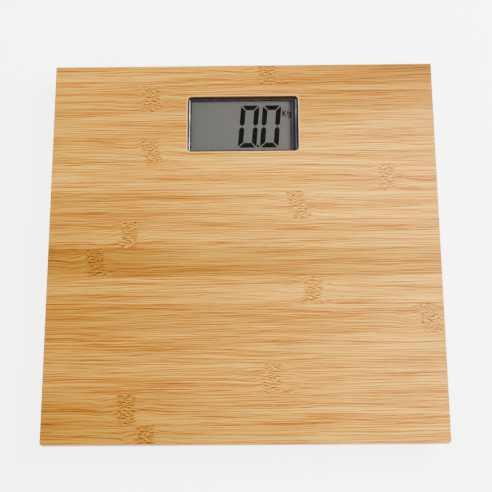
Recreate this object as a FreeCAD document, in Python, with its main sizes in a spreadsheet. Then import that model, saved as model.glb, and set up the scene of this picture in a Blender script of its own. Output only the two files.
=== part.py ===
import FreeCAD, Part

import math
import os
import re

import Sketcher
from FreeCAD import Placement, Rotation, Vector

# A bathroom scale with an edge-glued bamboo platform, a display in its rear half, an electronics
# tray screwed underneath and a load-cell foot at each corner.
# Frame: +X right and +Y towards the display, as the reader sees it; +Z up; the origin is on the
# floor under the middle of the platform.

doc = FreeCAD.newDocument("bathroom_scale")

# Driving dimensions, millimetres. Positions are from the origin unless the name says otherwise.
SIZES = {
    # platform
    "overall_height": 25,
    "board_side": 300,
    "board_thick": 12,
    "board_corner": 1,
    "board_ease": 0.6,
    "skin_thick": 5,
    "bay_recess": 5,
    "pocket_corner": 3,
    "pocket_width": 104,
    "pocket_depth": 72,
    "bay_pocket_width": 60,
    "bay_pocket_front": 33,
    # window and display, one above the other; the glass sits a little left of the window
    "window_x": -0.4,
    "window_y": 99.9,
    "window_width": 86.8,
    "window_depth": 46,
    "window_corner": 2.8,
    "window_chamfer": 0.4,
    "window_gap": 0.25,
    "lens_sink": 0.2,
    "lens_thick": 2,
    "lens_edge": 0.3,
    "lens_tape_thick": 0.15,
    "lens_tape_inset": 0.2,
    "lens_tape_reveal": 0.6,
    "view_x": -1.2,
    "view_y": 99.7,
    "view_width": 79.6,
    "view_depth": 42.6,
    "view_corner": 1,
    "flange_width": 102,
    "flange_depth": 62,
    "flange_thick": 1.6,
    "glass_width": 84,
    "glass_depth": 48,
    "glass_thick": 1.1,
    "glass_ledge": 3,
    "glass_gap": 0.3,
    "film_thick": 0.2,
    "film_inset": 1,
    "holder_wall": 1.7,
    "holder_base": 1.7,
    "holder_gap": 0.05,
    "holder_eye_short": 6,
    "holder_eye_shallow": 11,
    "holder_eye_shift": 2,
    "zebra_width": 2.2,
    "zebra_slot_short": 4,
    "zebra_slot_gap": 0.2,
    # circuit board
    "circuit_width": 101.6,
    "circuit_depth": 67,
    "circuit_y": 98,
    "circuit_thick": 1.6,
    "circuit_low": 14,
    "circuit_corner": 1.5,
    "circuit_screw_x": 48,
    "circuit_screw_y": 28.6,
    "circuit_boss": 2.3,
    "chip_x": -18,
    "chip_y": 96,
    "chip_radius": 6.5,
    "chip_height": 1.4,
    "chip_part_x": -2,
    "chip_part_y": 104,
    "chip_part_pitch": 4.2,
    "chip_part_row": 5.5,
    "crystal_x": -4,
    "crystal_y": 86,
    "crystal_radius": 1,
    "crystal_length": 6,
    "solder_radius": 0.55,
    "solder_height": 0.8,
    "solder_offset": 0.56,
    # unit button and its switch
    "button_x": 36,
    "button_y": 90,
    "button_radius": 3,
    "button_flange": 4.3,
    "button_flange_thick": 1.1,
    "button_recess": 0.3,
    "button_top": 8.95,
    "button_gap": 0.3,
    "button_edge": 0.4,
    "button_clear": 0.05,
    "switch_side": 6,
    "switch_height": 3.5,
    "plunger_radius": 1.75,
    "plunger_low": 9,
    "plunger_high": 11.6,
    "plunger_room": 12.2,
    "plunger_gap": 0.1,
    # electronics tray
    "tray_low": 5,
    "tray_width": 128,
    "tray_depth": 106,
    "tray_y": 84,
    "tray_wall": 1.8,
    "tray_corner": 8,
    "tray_edge": 1.2,
    "column_radius": 4,
    "tray_screw_x": 58,
    "tray_screw_far_y": 131,
    "tray_screw_near_x": 40,
    "tray_screw_near_y": 37,
    "tray_counterbore": 2.6,
    "scoop_high": 1,
    "scoop_depth": 5,
    "scoop_shift": 1.5,
    "scoop_wider": 4,
    "scoop_corner": 1,
    # battery bay: two AAA cells side by side along X
    "cell_radius": 5.25,
    "cell_length": 44.5,
    "cell_edge": 0.5,
    "cell_nub": 1,
    "cell_nub_radius": 1.9,
    "cell_z": 12.1,
    "cell_front_y": 42.2,
    "cell_rear_y": 53.4,
    "bay_length": 52,
    "bay_width": 24.8,
    "bay_y": 48,
    "bay_wall": 1.4,
    "bay_high": 16.5,
    "cut_spare": 0.02,
    "lead_notch": 1.6,
    "door_gap": 0.3,
    "door_corner": 1,
    "door_thick": 1.6,
    "tab_x": 15,
    "tab_width": 6,
    "tab_thick": 1,
    "tab_reach": 2,
    "tab_stem": 1.2,
    "tab_lift": 0.15,
    "tab_window_high": 2.7,
    "tab_window_wider": 1.2,
    "latch_width": 12,
    "latch_length": 7,
    "latch_slit": 0.8,
    "rib_height": 0.35,
    "rib_width": 0.7,
    "rib_corner": 0.3,
    "rib_pitch": 1.4,
    "rib_short": 3,
    "nib_height": 0.6,
    "nib_reach": 0.2,
    "nib_short": 4,
    "contact_thick": 0.4,
    "contact_width": 8.4,
    "contact_low": 8,
    "contact_high": 16.2,
    "contact_gap": 0.05,
    "dimple_radius": 2.4,
    "dimple_tip": 1.2,
    "spring_wire": 0.6,
    "spring_steps": 12,
    "spring_root": 3.4,
    "spring_tip": 2.2,
    "spring_turns": 3,
    # feet
    "foot_reach": 112,
    "mount_height": 8,
    "mount_radius": 26,
    "mount_ceiling": 1.8,
    "mount_eye": 13,
    "mount_edge": 0.8,
    "ear_root": 18.2,
    "ear_reach": 29.5,
    "ear_radius": 4.6,
    "ear_height": 4,
    "sensor_side": 34,
    "sensor_corner": 4,
    "sensor_thick": 1.4,
    "sensor_rim": 2,
    "sensor_gap": 0.3,
    "tongue_radius": 9.2,
    "tongue_slit": 1.8,
    "sealant_length": 8,
    "sealant_width": 5,
    "sealant_height": 1,
    "sealant_edge": 0.6,
    "hook_slot_reach": 20.8,
    "hook_slot_width": 8,
    "hook_room": 1.6,
    "hook_overlap": 0.1,
    "ledge_high": 7.6,
    "foot_travel": 0.8,
    "foot_clear": 0.05,
    "shell_radius": 23,
    "shell_low": 1.6,
    "shell_edge": 0.8,
    "shell_recess": 1.2,
    "boss_radius": 5,
    "hook_inner": 18.95,
    "hook_thick": 1.45,
    "hook_width": 6,
    "barb": 1.5,
    "barb_thick": 1.1,
    "barb_gap": 0.1,
    "pad_radius": 19,
    "pad_edge": 0.6,
    "pad_gap": 0.2,
    "pad_groove": 0.5,
    "pad_groove_width": 1.2,
    # screws
    "thread_radius": 1.45,
    "pilot_radius": 1.5,
    "hole_radius": 1.7,
    "head_radius": 2.8,
    "head_height": 1.7,
    "head_room": 3.1,
    "ear_counterbore": 1.9,
    "foot_screw_top": 19,
    "tray_screw_top": 18.5,
    "pilot_spare": 0.6,
    "small_thread_radius": 0.95,
    "small_pilot_radius": 1,
    "small_head_radius": 1.9,
    "small_head_height": 1.1,
    "small_pilot_spare": 0.3,
    "small_hole_gap": 0.1,
    "small_screw_top": 18.8,
    # wires
    "groove_radius": 2.2,
    "groove_high": 3,
    "groove_start": 6.5,
    "lead_radius": 0.45,
    "lead_spacing": 1.25,
    "lead_z": 13.5,
    "lead_bend": 1.2,
    "lead_start": 5.5,
    "rear_entry_x": 51,
    "front_entry_x": 42,
    "front_entry_y": 66,
    "lead_under_board": 6,
    "battery_lead_x": 28.1,
    "battery_lead_step": 1.2,
    "tape_thick": 0.12,
    "tape_long": 16,
    "tape_wide": 9,
}

dims = doc.addObject("Spreadsheet::Sheet", "dims")
for row, (alias, size) in enumerate(SIZES.items(), start=1):
    dims.set(f"A{row}", alias)
    dims.set(f"B{row}", str(size))
    dims.setAlias(f"B{row}", alias)
doc.recompute()

# Levels and places worked out from the sheet, as expressions.
BOARD_TOP = "overall_height"
BOARD_LOW = "(overall_height - board_thick)"
SKIN_LOW = "(overall_height - skin_thick)"
LENS_LOW = "(overall_height - lens_sink - lens_thick)"
BEZEL_TOP = f"({LENS_LOW} - lens_tape_thick)"
FLANGE_LOW = f"({SKIN_LOW} - flange_thick)"
FRONT_GLASS_LOW = f"({SKIN_LOW} - film_thick - glass_thick)"
REAR_GLASS_LOW = f"({FRONT_GLASS_LOW} - glass_thick)"
REFLECTOR_LOW = f"({REAR_GLASS_LOW} - film_thick)"
CIRCUIT_TOP = "(circuit_low + circuit_thick)"
GLASS_FRONT = "(view_y - glass_depth / 2)"
POCKET_Y = "circuit_y"
TRAY_FLOOR = "(tray_low + tray_wall)"
MOUNT_LOW = f"({BOARD_LOW} - mount_height)"
CEILING_LOW = f"({BOARD_LOW} - mount_ceiling)"
EAR_LOW = f"({BOARD_LOW} - ear_height)"
SENSOR_LOW = "(ledge_high + foot_travel)"
SENSOR_TOP = f"({SENSOR_LOW} + sensor_thick)"
SHELL_TOP = f"({MOUNT_LOW} - foot_travel)"
BARB_LOW = "(ledge_high + foot_travel + barb_gap)"
BAY_END = "(bay_length / 2)"
BAY_REAR = "(bay_y + bay_width / 2)"
BAY_FRONT = "(bay_y - bay_width / 2)"

# Corners of the platform: name, side in X, side in Y, turn of the foot about Z.
CORNERS = [
    ("rear_right", 1, 1, 0),
    ("rear_left", -1, 1, 90),
    ("front_left", -1, -1, 180),
    ("front_right", 1, -1, 270),
]
EAR_ANGLES = (45, 165, 285)
# Ends of the slit round each load cell's tongue; the neck is between them, on the -Y side.
TONGUE_ENDS = (-50, 230)
# Length, width and height of the chip resistors, then of the chip capacitors.
CHIP_PARTS = ((1.6, 0.8, 0.5), (2.0, 1.25, 0.8))
CHIP_PARTS_IN_ROW = 6
GRIP_RIBS = 3
GRIP_RINGS = 3
# How far from a foot's centre the strips of tape lie, on the short rear grooves and the long front ones.
REAR_TAPE = (39.5,)
FRONT_TAPE = (60, 98, 136)
# Shape of a screw, as shares of its head height, thread radius and head radius.
HEAD_ROUNDING = 0.35
POINT_TIP = 0.25
RECESS_DEPTH = 0.55
RECESS_HALF_WIDTH = 0.22
RECESS_REACH = 0.62
# How a sweep turns a corner: with a mitre.
MITRED = 1
TRAY_SCREWS = [
    (f"{side} * {reach}", y)
    for side in (-1, 1)
    for reach, y in (("tray_screw_near_x", "tray_screw_near_y"), ("tray_screw_x", "tray_y"),
                     ("tray_screw_x", "tray_screw_far_y"))
]
CIRCUIT_SCREWS = [
    (f"window_x + {side_x} * circuit_screw_x", f"window_y + {side_y} * circuit_screw_y")
    for side_x in (-1, 1)
    for side_y in (-1, 1)
]
EAR_CENTRES = [(f"ear_reach * cos({angle})", f"ear_reach * sin({angle})") for angle in EAR_ANGLES]
EAR_PLACES = [
    (f"{side_x} * foot_reach + ear_reach * cos({turn + angle})",
     f"{side_y} * foot_reach + ear_reach * sin({turn + angle})")
    for name, side_x, side_y, turn in CORNERS
    for angle in EAR_ANGLES
]

subparts = []


def linked(expression):
    """Point every alias in an expression at its cell in the sheet."""
    return re.sub(r"[a-z_]+", lambda word: "dims." + word[0] if word[0] in SIZES else word[0], expression)


def value(expression):
    """The number that an expression gives now."""
    return float(dims.evalExpression(linked(expression)))


def new_body(name):
    """Start a sub-part made of sketches and features."""
    body = doc.addObject("PartDesign::Body", name)
    body.Label = name
    subparts.append(body)
    return body


def new_feature(name, shape, placement=Placement()):
    """Add a sub-part whose shape comes from Part's own functions."""
    feature = doc.addObject("Part::Feature", name)
    feature.Label = name
    feature.Shape = shape
    feature.Placement = placement
    subparts.append(feature)
    return feature


def origin_plane(body, role):
    return next(item for item in body.Origin.OriginFeatures if item.Role == role)


def hold(sketch, kind, *items):
    """Add a sketch dimension whose last item is an expression."""
    *references, expression = items
    index = sketch.addConstraint(Sketcher.Constraint(kind, *references, value(expression)))
    sketch.setExpression(f"Constraints[{index}]", linked(expression))


def fix_point(sketch, geometry, vertex, x, y):
    hold(sketch, "DistanceX", -1, 1, geometry, vertex, x)
    hold(sketch, "DistanceY", -1, 1, geometry, vertex, y)


def disc(x, y, radius):
    """A circle about x, y."""
    def draw(sketch):
        centre = Vector(value(x), value(y), 0)
        circle = sketch.addGeometry(Part.Circle(centre, Vector(0, 0, 1), value(radius)), False)
        fix_point(sketch, circle, 3, x, y)
        hold(sketch, "Radius", circle, radius)
    return draw


def discs(centres, radius):
    """Equal circles about several centres."""
    return [disc(x, y, radius) for x, y in centres]


def rectangle(x, y, width, depth):
    """A rectangle with its middle at x, y."""
    def draw(sketch):
        across = value(width) / 2
        along = value(depth) / 2
        middle = Vector(value(x), value(y), 0)
        points = [middle + Vector(i * across, j * along, 0) for i, j in ((-1, -1), (1, -1), (1, 1), (-1, 1))]
        sides = [
            sketch.addGeometry(Part.LineSegment(points[i], points[(i + 1) % 4]), False) for i in range(4)
        ]
        for i in range(4):
            sketch.addConstraint(Sketcher.Constraint("Coincident", sides[i], 2, sides[(i + 1) % 4], 1))
            sketch.addConstraint(Sketcher.Constraint("Vertical" if i % 2 else "Horizontal", sides[i]))
        fix_point(sketch, sides[0], 1, f"{x} - ({width}) / 2", f"{y} - ({depth}) / 2")
        hold(sketch, "DistanceX", sides[0], 1, sides[0], 2, width)
        hold(sketch, "DistanceY", sides[1], 1, sides[1], 2, depth)
    return draw


def rounded(x, y, width, depth, corner):
    """A rectangle with round corners and its middle at x, y."""
    def draw(sketch):
        radius = value(corner)
        across = value(width) / 2 - radius
        along = value(depth) / 2 - radius
        middle = Vector(value(x), value(y), 0)
        turns = ((-1, -1, 180), (1, -1, 270), (1, 1, 0), (-1, 1, 90))
        arcs = []
        for i, j, start in turns:
            circle = Part.Circle(middle + Vector(i * across, j * along, 0), Vector(0, 0, 1), radius)
            arc = Part.ArcOfCircle(circle, math.radians(start), math.radians(start + 90))
            arcs.append(sketch.addGeometry(arc, False))
        for i in range(4):
            here = sketch.Geometry[arcs[i]].EndPoint
            there = sketch.Geometry[arcs[(i + 1) % 4]].StartPoint
            line = sketch.addGeometry(Part.LineSegment(here, there), False)
            sketch.addConstraint(Sketcher.Constraint("Tangent", arcs[i], 2, line, 1))
            sketch.addConstraint(Sketcher.Constraint("Tangent", line, 2, arcs[(i + 1) % 4], 1))
            sketch.addConstraint(Sketcher.Constraint("Vertical" if i % 2 else "Horizontal", line))
        for i in range(1, 4):
            sketch.addConstraint(Sketcher.Constraint("Equal", arcs[0], arcs[i]))
        hold(sketch, "Radius", arcs[0], corner)
        first_x = f"{x} - ({width}) / 2 + ({corner})"
        first_y = f"{y} - ({depth}) / 2 + ({corner})"
        fix_point(sketch, arcs[0], 3, first_x, first_y)
        hold(sketch, "DistanceX", arcs[0], 3, arcs[1], 3, f"{width} - 2 * ({corner})")
        hold(sketch, "DistanceY", arcs[1], 3, arcs[2], 3, f"{depth} - 2 * ({corner})")
    return draw


def slot(x_from, y_from, x_to, y_to, radius):
    """A straight slot with round ends, centred on two points."""
    def draw(sketch):
        start = Vector(value(x_from), value(y_from), 0)
        end = Vector(value(x_to), value(y_to), 0)
        heading = math.atan2(end.y - start.y, end.x - start.x)
        arcs = []
        for centre, turn in ((start, math.pi / 2), (end, -math.pi / 2)):
            circle = Part.Circle(centre, Vector(0, 0, 1), value(radius))
            arc = Part.ArcOfCircle(circle, heading + turn, heading + turn + math.pi)
            arcs.append(sketch.addGeometry(arc, False))
        for i in range(2):
            here = sketch.Geometry[arcs[i]].EndPoint
            there = sketch.Geometry[arcs[1 - i]].StartPoint
            line = sketch.addGeometry(Part.LineSegment(here, there), False)
            sketch.addConstraint(Sketcher.Constraint("Tangent", arcs[i], 2, line, 1))
            sketch.addConstraint(Sketcher.Constraint("Tangent", line, 2, arcs[1 - i], 1))
        sketch.addConstraint(Sketcher.Constraint("Equal", arcs[0], arcs[1]))
        hold(sketch, "Radius", arcs[0], radius)
        fix_point(sketch, arcs[0], 3, x_from, y_from)
        fix_point(sketch, arcs[1], 3, x_to, y_to)
    return draw


def sketch_at(body, name, level, outlines, role="XY_Plane"):
    """A sketch on one of the body's origin planes, moved along its normal to a level."""
    sketch = body.newObject("Sketcher::SketchObject", name + "_sketch")
    sketch.AttachmentSupport = [(origin_plane(body, role), "")]
    sketch.MapMode = "FlatFace"
    sketch.AttachmentOffset.Base.z = value(level)
    sketch.setExpression("AttachmentOffset.Base.z", linked(level))
    for draw in outlines:
        draw(sketch)
    return sketch


def pad(body, name, low, high, *outlines):
    """Add material between two levels."""
    feature = body.newObject("PartDesign::Pad", name)
    feature.Profile = sketch_at(body, name, low, outlines)
    feature.setExpression("Length", linked(f"({high}) - ({low})"))
    body.Tip = feature
    doc.recompute()


def pocket(body, name, low, high, *outlines):
    """Cut away material between two levels, and see that it went."""
    before = body.Shape.Volume
    feature = body.newObject("PartDesign::Pocket", name)
    feature.Profile = sketch_at(body, name, high, outlines)
    feature.setExpression("Length", linked(f"({high}) - ({low})"))
    body.Tip = feature
    doc.recompute()
    assert body.Shape.Volume < before, f"{body.Label}: {name} cut nothing"


def ease(body, kind, name, size, wanted):
    """Fillet or chamfer the edges of a body that pass a test."""
    shape = body.Shape
    names = [f"Edge{i}" for i, edge in enumerate(shape.Edges, start=1) if wanted(edge)]
    assert names, f"{body.Label}: {name} found no edges"
    base = body.Tip
    feature = body.newObject("PartDesign::" + kind, name)
    feature.Base = (base, names)
    feature.setExpression("Radius" if kind == "Fillet" else "Size", linked(size))
    body.Tip = feature
    doc.recompute()


def at_level(edge, level):
    box = edge.BoundBox
    return abs(box.ZMin - level) < 1e-4 and abs(box.ZMax - level) < 1e-4


def corner_place(side_x, side_y, turn):
    reach = value("foot_reach")
    return Placement(Vector(side_x * reach, side_y * reach, 0), Rotation(Vector(0, 0, 1), turn))


def groove_line(side_x, side_y):
    """Centre of a foot, the way its wires leave it, and the run from there to the pocket's edge."""
    foot = Vector(side_x * value("foot_reach"), side_y * value("foot_reach"), 0)
    if side_y > 0:
        entry = Vector(side_x * value("rear_entry_x"), foot.y, 0)
    else:
        entry = Vector(side_x * value("front_entry_x"), value("front_entry_y"), 0)
    return foot, (entry - foot).normalize(), (entry - foot).Length


# ---------------------------------------------------------------- platform

def make_platform():
    """Bamboo board with the display window, the pockets underneath and the wire grooves."""
    board = new_body("bamboo_platform")
    pad(board, "blank", BOARD_LOW, BOARD_TOP, rounded("0", "0", "board_side", "board_side", "board_corner"))
    half = value("board_side") / 2

    def rim(edge):
        box = edge.BoundBox
        outside = max(abs(box.XMin), abs(box.XMax), abs(box.YMin), abs(box.YMax)) > half - 1e-3
        return outside and box.ZLength < 1e-4

    ease(board, "Fillet", "eased_edges", "board_ease", rim)
    pocket(board, "window", SKIN_LOW, BOARD_TOP,
           rounded("window_x", "window_y", "window_width", "window_depth", "window_corner"))
    ease(board, "Chamfer", "window_edge", "window_chamfer",
         lambda edge: at_level(edge, value(BOARD_TOP)) and abs(edge.BoundBox.Center.x) < half / 2
         and abs(edge.BoundBox.Center.y) < half - 1)
    pocket(board, "display_pocket", BOARD_LOW, SKIN_LOW,
           rounded("0", POCKET_Y, "pocket_width", "pocket_depth", "pocket_corner"))
    bay_depth = f"({POCKET_Y} - bay_pocket_front)"
    bay_middle = f"bay_pocket_front + {bay_depth} / 2"
    pocket(board, "battery_pocket", BOARD_LOW, f"{BOARD_LOW} + bay_recess",
           rounded("0", bay_middle, "bay_pocket_width", bay_depth, "pocket_corner"))
    for name, side_x, side_y, turn in CORNERS:
        cut_groove(board, name, side_x, side_y)
    pocket(board, "foot_pilots", BOARD_LOW, "foot_screw_top + pilot_spare",
           *discs(EAR_PLACES, "pilot_radius"))
    pocket(board, "tray_pilots", BOARD_LOW, "tray_screw_top + pilot_spare",
           *discs(TRAY_SCREWS, "pilot_radius"))


def cut_groove(board, name, side_x, side_y):
    """Groove for one foot's wires, from above the foot's eye to the display pocket."""
    if side_y > 0:
        entry_x = f"({side_x} * rear_entry_x)"
        entry_y = "foot_reach"
    else:
        entry_x = f"({side_x} * front_entry_x)"
        entry_y = "front_entry_y"
    run_x = f"({entry_x} - {side_x} * foot_reach)"
    run_y = f"({entry_y} - {side_y} * foot_reach)"
    share = f"groove_start / sqrt({run_x} ^ 2 + {run_y} ^ 2)"
    pocket(board, "groove_" + name, BOARD_LOW, f"{BOARD_LOW} + groove_high",
           slot(f"{side_x} * foot_reach + {share} * {run_x}", f"{side_y} * foot_reach + {share} * {run_y}",
                entry_x, entry_y, "groove_radius"))


# ---------------------------------------------------------------- display

def view_hole(grow):
    return rounded("view_x", "view_y", f"view_width + {grow}", f"view_depth + {grow}", "view_corner")


def window_plug(inset):
    return rounded("window_x", "window_y", f"window_width - 2 * ({inset})", f"window_depth - 2 * ({inset})",
                   "window_corner - window_gap")


def glass_outline(width, depth, shift="0"):
    return rectangle("view_x", f"view_y + {shift}", width, depth)


def make_display():
    """Lens, its tape, the bezel, and the liquid-crystal cell from its front film to its reflector."""
    lens = new_body("display_lens")
    pad(lens, "sheet", LENS_LOW, f"{BOARD_TOP} - lens_sink", window_plug("window_gap"))
    ease(lens, "Fillet", "polished_edge", "lens_edge",
         lambda edge: at_level(edge, value(f"{BOARD_TOP} - lens_sink")))

    tape = new_body("lens_tape")
    pad(tape, "frame", BEZEL_TOP, LENS_LOW, window_plug("window_gap + lens_tape_inset"),
        view_hole("lens_tape_reveal"))

    bezel = new_body("display_bezel")
    pad(bezel, "plug", SKIN_LOW, BEZEL_TOP, window_plug("window_gap"), view_hole("0"))
    pad(bezel, "flange", FLANGE_LOW, SKIN_LOW,
        rounded("window_x", "window_y", "flange_width", "flange_depth", "pocket_corner"),
        glass_outline("glass_width + 2 * glass_gap", "glass_depth + 2 * glass_gap"))
    pad(bezel, "bosses", CIRCUIT_TOP, FLANGE_LOW, *discs(CIRCUIT_SCREWS, "circuit_boss"))
    pocket(bezel, "boss_pilots", CIRCUIT_TOP, "small_screw_top + small_pilot_spare",
           *discs(CIRCUIT_SCREWS, "small_pilot_radius"))

    film_size = ("glass_width - 2 * film_inset", "glass_depth - 2 * film_inset")
    film = new_body("lcd_front_film")
    pad(film, "film", f"{SKIN_LOW} - film_thick", SKIN_LOW, glass_outline(*film_size))
    front = new_body("lcd_front_glass")
    pad(front, "glass", FRONT_GLASS_LOW, f"{SKIN_LOW} - film_thick",
        glass_outline("glass_width", "glass_depth"))
    rear = new_body("lcd_rear_glass")
    pad(rear, "glass", REAR_GLASS_LOW, FRONT_GLASS_LOW,
        glass_outline("glass_width", "glass_depth - glass_ledge", "glass_ledge / 2"))
    reflector = new_body("lcd_reflector")
    pad(reflector, "film", REFLECTOR_LOW, REAR_GLASS_LOW,
        glass_outline("glass_width - 2 * film_inset", "glass_depth - glass_ledge - 2 * film_inset",
                      "glass_ledge / 2"))


def make_holder():
    """Frame that holds the cell against the bezel, and the rubber strip that carries its signals."""
    step = f"({CIRCUIT_TOP} + holder_base)"
    outside = glass_outline("glass_width + 2 * (glass_gap + holder_wall)",
                            "glass_depth + 2 * (glass_gap + holder_wall)")
    holder = new_body("lcd_holder")
    eye = glass_outline("glass_width - holder_eye_short", "glass_depth - holder_eye_shallow",
                        "holder_eye_shift")
    pad(holder, "base", CIRCUIT_TOP, step, outside, eye)
    pad(holder, "wall", step, f"{FLANGE_LOW} - holder_gap", outside,
        glass_outline("glass_width + 2 * glass_gap", "glass_depth + 2 * glass_gap"))
    strip_y = f"{GLASS_FRONT} + glass_ledge / 2"
    pocket(holder, "strip_slot", CIRCUIT_TOP, step,
           rectangle("view_x", strip_y, "glass_width - zebra_slot_short", "zebra_width + zebra_slot_gap"))
    strip = new_body("zebra_strip")
    pad(strip, "strip", CIRCUIT_TOP, FRONT_GLASS_LOW,
        rectangle("view_x", strip_y, "glass_width - zebra_slot_short - zebra_slot_gap", "zebra_width"))


# ---------------------------------------------------------------- electronics

def make_circuit():
    """Circuit board with its potted chip, small parts, switch and button."""
    board = new_body("circuit_board")
    pad(board, "laminate", "circuit_low", CIRCUIT_TOP,
        rounded("window_x", "circuit_y", "circuit_width", "circuit_depth", "circuit_corner"),
        *discs(CIRCUIT_SCREWS, "small_pilot_radius + small_hole_gap"))

    radius = value("chip_radius")
    height = value("chip_height")
    dome_radius = (radius ** 2 + height ** 2) / (2 * height)
    level = value("circuit_low")
    chip = Vector(value("chip_x"), value("chip_y"), level)
    dome = Part.makeSphere(dome_radius, chip + Vector(0, 0, dome_radius - height))
    slab = Part.makeBox(2 * radius, 2 * radius, height, chip - Vector(radius, radius, height))
    new_feature("chip_potting", dome.common(slab))
    new_feature("circuit_components", Part.makeCompound(small_parts(level)))

    switch = new_body("unit_switch")
    place = ("button_x", "button_y")
    pad(switch, "case", "circuit_low - switch_height", "circuit_low",
        rectangle(*place, "switch_side", "switch_side"))
    pocket(switch, "plunger_hole", "circuit_low - switch_height", "plunger_room",
           disc(*place, "plunger_radius + plunger_gap"))
    plunger = new_body("unit_switch_plunger")
    pad(plunger, "stem", "plunger_low", "plunger_high", disc(*place, "plunger_radius"))
    button = new_body("unit_button")
    pad(button, "cap", "tray_low + button_recess", "button_top", disc(*place, "button_radius"))
    flange_low = f"{TRAY_FLOOR} + button_clear"
    pad(button, "flange", flange_low, f"{flange_low} + button_flange_thick", disc(*place, "button_flange"))
    ease(button, "Fillet", "soft_rim", "button_edge",
         lambda edge: at_level(edge, value("tray_low + button_recess")))


def small_parts(level):
    """Chip resistors and capacitors in rows, a crystal can and the solder joints of the wires."""
    parts = []
    for column in range(CHIP_PARTS_IN_ROW):
        for row, (length, width, height) in enumerate(CHIP_PARTS):
            x = value("chip_part_x") + column * value("chip_part_pitch")
            y = value("chip_part_y") + row * value("chip_part_row")
            parts.append(Part.makeBox(length, width, height, Vector(x, y, level - height)))
    can_radius = value("crystal_radius")
    can_end = Vector(value("crystal_x"), value("crystal_y"), level - can_radius)
    parts.append(Part.makeCylinder(can_radius, value("crystal_length"), can_end, Vector(1, 0, 0)))
    joint_height = value("solder_height")
    for name, side_x, side_y, turn in CORNERS:
        foot, along, run = groove_line(side_x, side_y)
        across = Vector(-along.y, along.x, 0)
        reach = run + value("lead_under_board") + value("solder_offset")
        for lane in (-1, 0, 1):
            base = foot + along * reach + across * (lane * value("lead_spacing"))
            base.z = level - joint_height
            parts.append(Part.makeCylinder(value("solder_radius"), joint_height, base))
    return parts


def make_tray():
    """Black tray that closes the pockets, with the battery bay and its opening."""
    tray = new_body("electronics_tray")
    pad(tray, "block", "tray_low", BOARD_LOW,
        rounded("0", "tray_y", "tray_width", "tray_depth", "tray_corner"))
    ease(tray, "Fillet", "round_rim", "tray_edge", lambda edge: at_level(edge, value("tray_low")))
    pocket(tray, "hollow", TRAY_FLOOR, BOARD_LOW,
           rounded("0", "tray_y", "tray_width - 2 * tray_wall", "tray_depth - 2 * tray_wall",
                   "tray_corner - tray_wall"))
    pad(tray, "columns", TRAY_FLOOR, BOARD_LOW, *discs(TRAY_SCREWS, "column_radius"))
    pad(tray, "bay_walls", TRAY_FLOOR, "bay_high",
        rectangle("0", "bay_y", "bay_length + 2 * bay_wall", "bay_width + 2 * bay_wall"),
        rectangle("0", "bay_y", "bay_length", "bay_width"))
    pocket(tray, "door_opening", "tray_low", TRAY_FLOOR,
           rounded("0", "bay_y", "bay_length", "bay_width", "door_corner + door_gap"))
    pocket(tray, "screw_holes", "tray_low", BOARD_LOW, *discs(TRAY_SCREWS, "hole_radius"))
    pocket(tray, "counterbores", "tray_low", "tray_low + tray_counterbore", *discs(TRAY_SCREWS, "head_room"))
    pocket(tray, "button_hole", "tray_low", TRAY_FLOOR,
           disc("button_x", "button_y", "button_radius + button_gap"))
    through_wall = "bay_wall + cut_spare"
    pocket(tray, "tab_windows", TRAY_FLOOR, f"{TRAY_FLOOR} + tab_window_high",
           *[rectangle(f"{side} * tab_x", f"{BAY_REAR} + bay_wall / 2", "tab_width + tab_window_wider",
                       through_wall)
             for side in (-1, 1)])
    pocket(tray, "lead_notches", "lead_z - lead_notch / 2", "bay_high",
           *[rectangle(f"{BAY_END} + bay_wall / 2", cell, through_wall, "lead_notch")
             for cell in ("cell_front_y", "cell_rear_y")])
    pocket(tray, "finger_scoop", "tray_low", "tray_low + scoop_high",
           rounded("0", f"{BAY_FRONT} - scoop_shift", "latch_width + scoop_wider", "scoop_depth",
                   "scoop_corner"))


def make_door():
    """Battery door: two hook tabs at its rear edge and a sprung tongue with a grip at its front."""
    inside = "(tray_low + door_thick)"
    door_length = "(bay_length - 2 * door_gap)"
    door_width = "(bay_width - 2 * door_gap)"
    front = f"(bay_y - {door_width} / 2)"
    rear = f"(bay_y + {door_width} / 2)"
    door = new_body("battery_door")
    pad(door, "plate", "tray_low", inside, rounded("0", "bay_y", door_length, door_width, "door_corner"))
    tail_low = f"({TRAY_FLOOR} + tab_lift)"
    tail_middle = f"{rear} + (tab_reach - tab_stem) / 2"
    stems = []
    tails = []
    slits = []
    for side in (-1, 1):
        stems.append(rectangle(f"{side} * tab_x", f"{rear} - tab_stem / 2", "tab_width", "tab_stem"))
        tails.append(rectangle(f"{side} * tab_x", tail_middle, "tab_width", "tab_reach + tab_stem"))
        slits.append(rectangle(f"{side} * (latch_width + latch_slit) / 2", f"{front} + latch_length / 2",
                               "latch_slit", "latch_length"))
    pad(door, "tab_stems", inside, tail_low, *stems)
    pad(door, "tab_tails", tail_low, f"{tail_low} + tab_thick", *tails)
    pocket(door, "tongue_slits", "tray_low", inside, *slits)
    pad(door, "grip_ribs", "tray_low - rib_height", "tray_low",
        *[rounded("0", f"{front} + {rib} * rib_pitch", "latch_width - rib_short", "rib_width", "rib_corner")
          for rib in range(1, GRIP_RIBS + 1)])
    pad(door, "tongue_nib", f"{inside} - nib_height", inside,
        rectangle("0", f"{front} - nib_reach / 2", "latch_width - nib_short", "nib_reach"))


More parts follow.
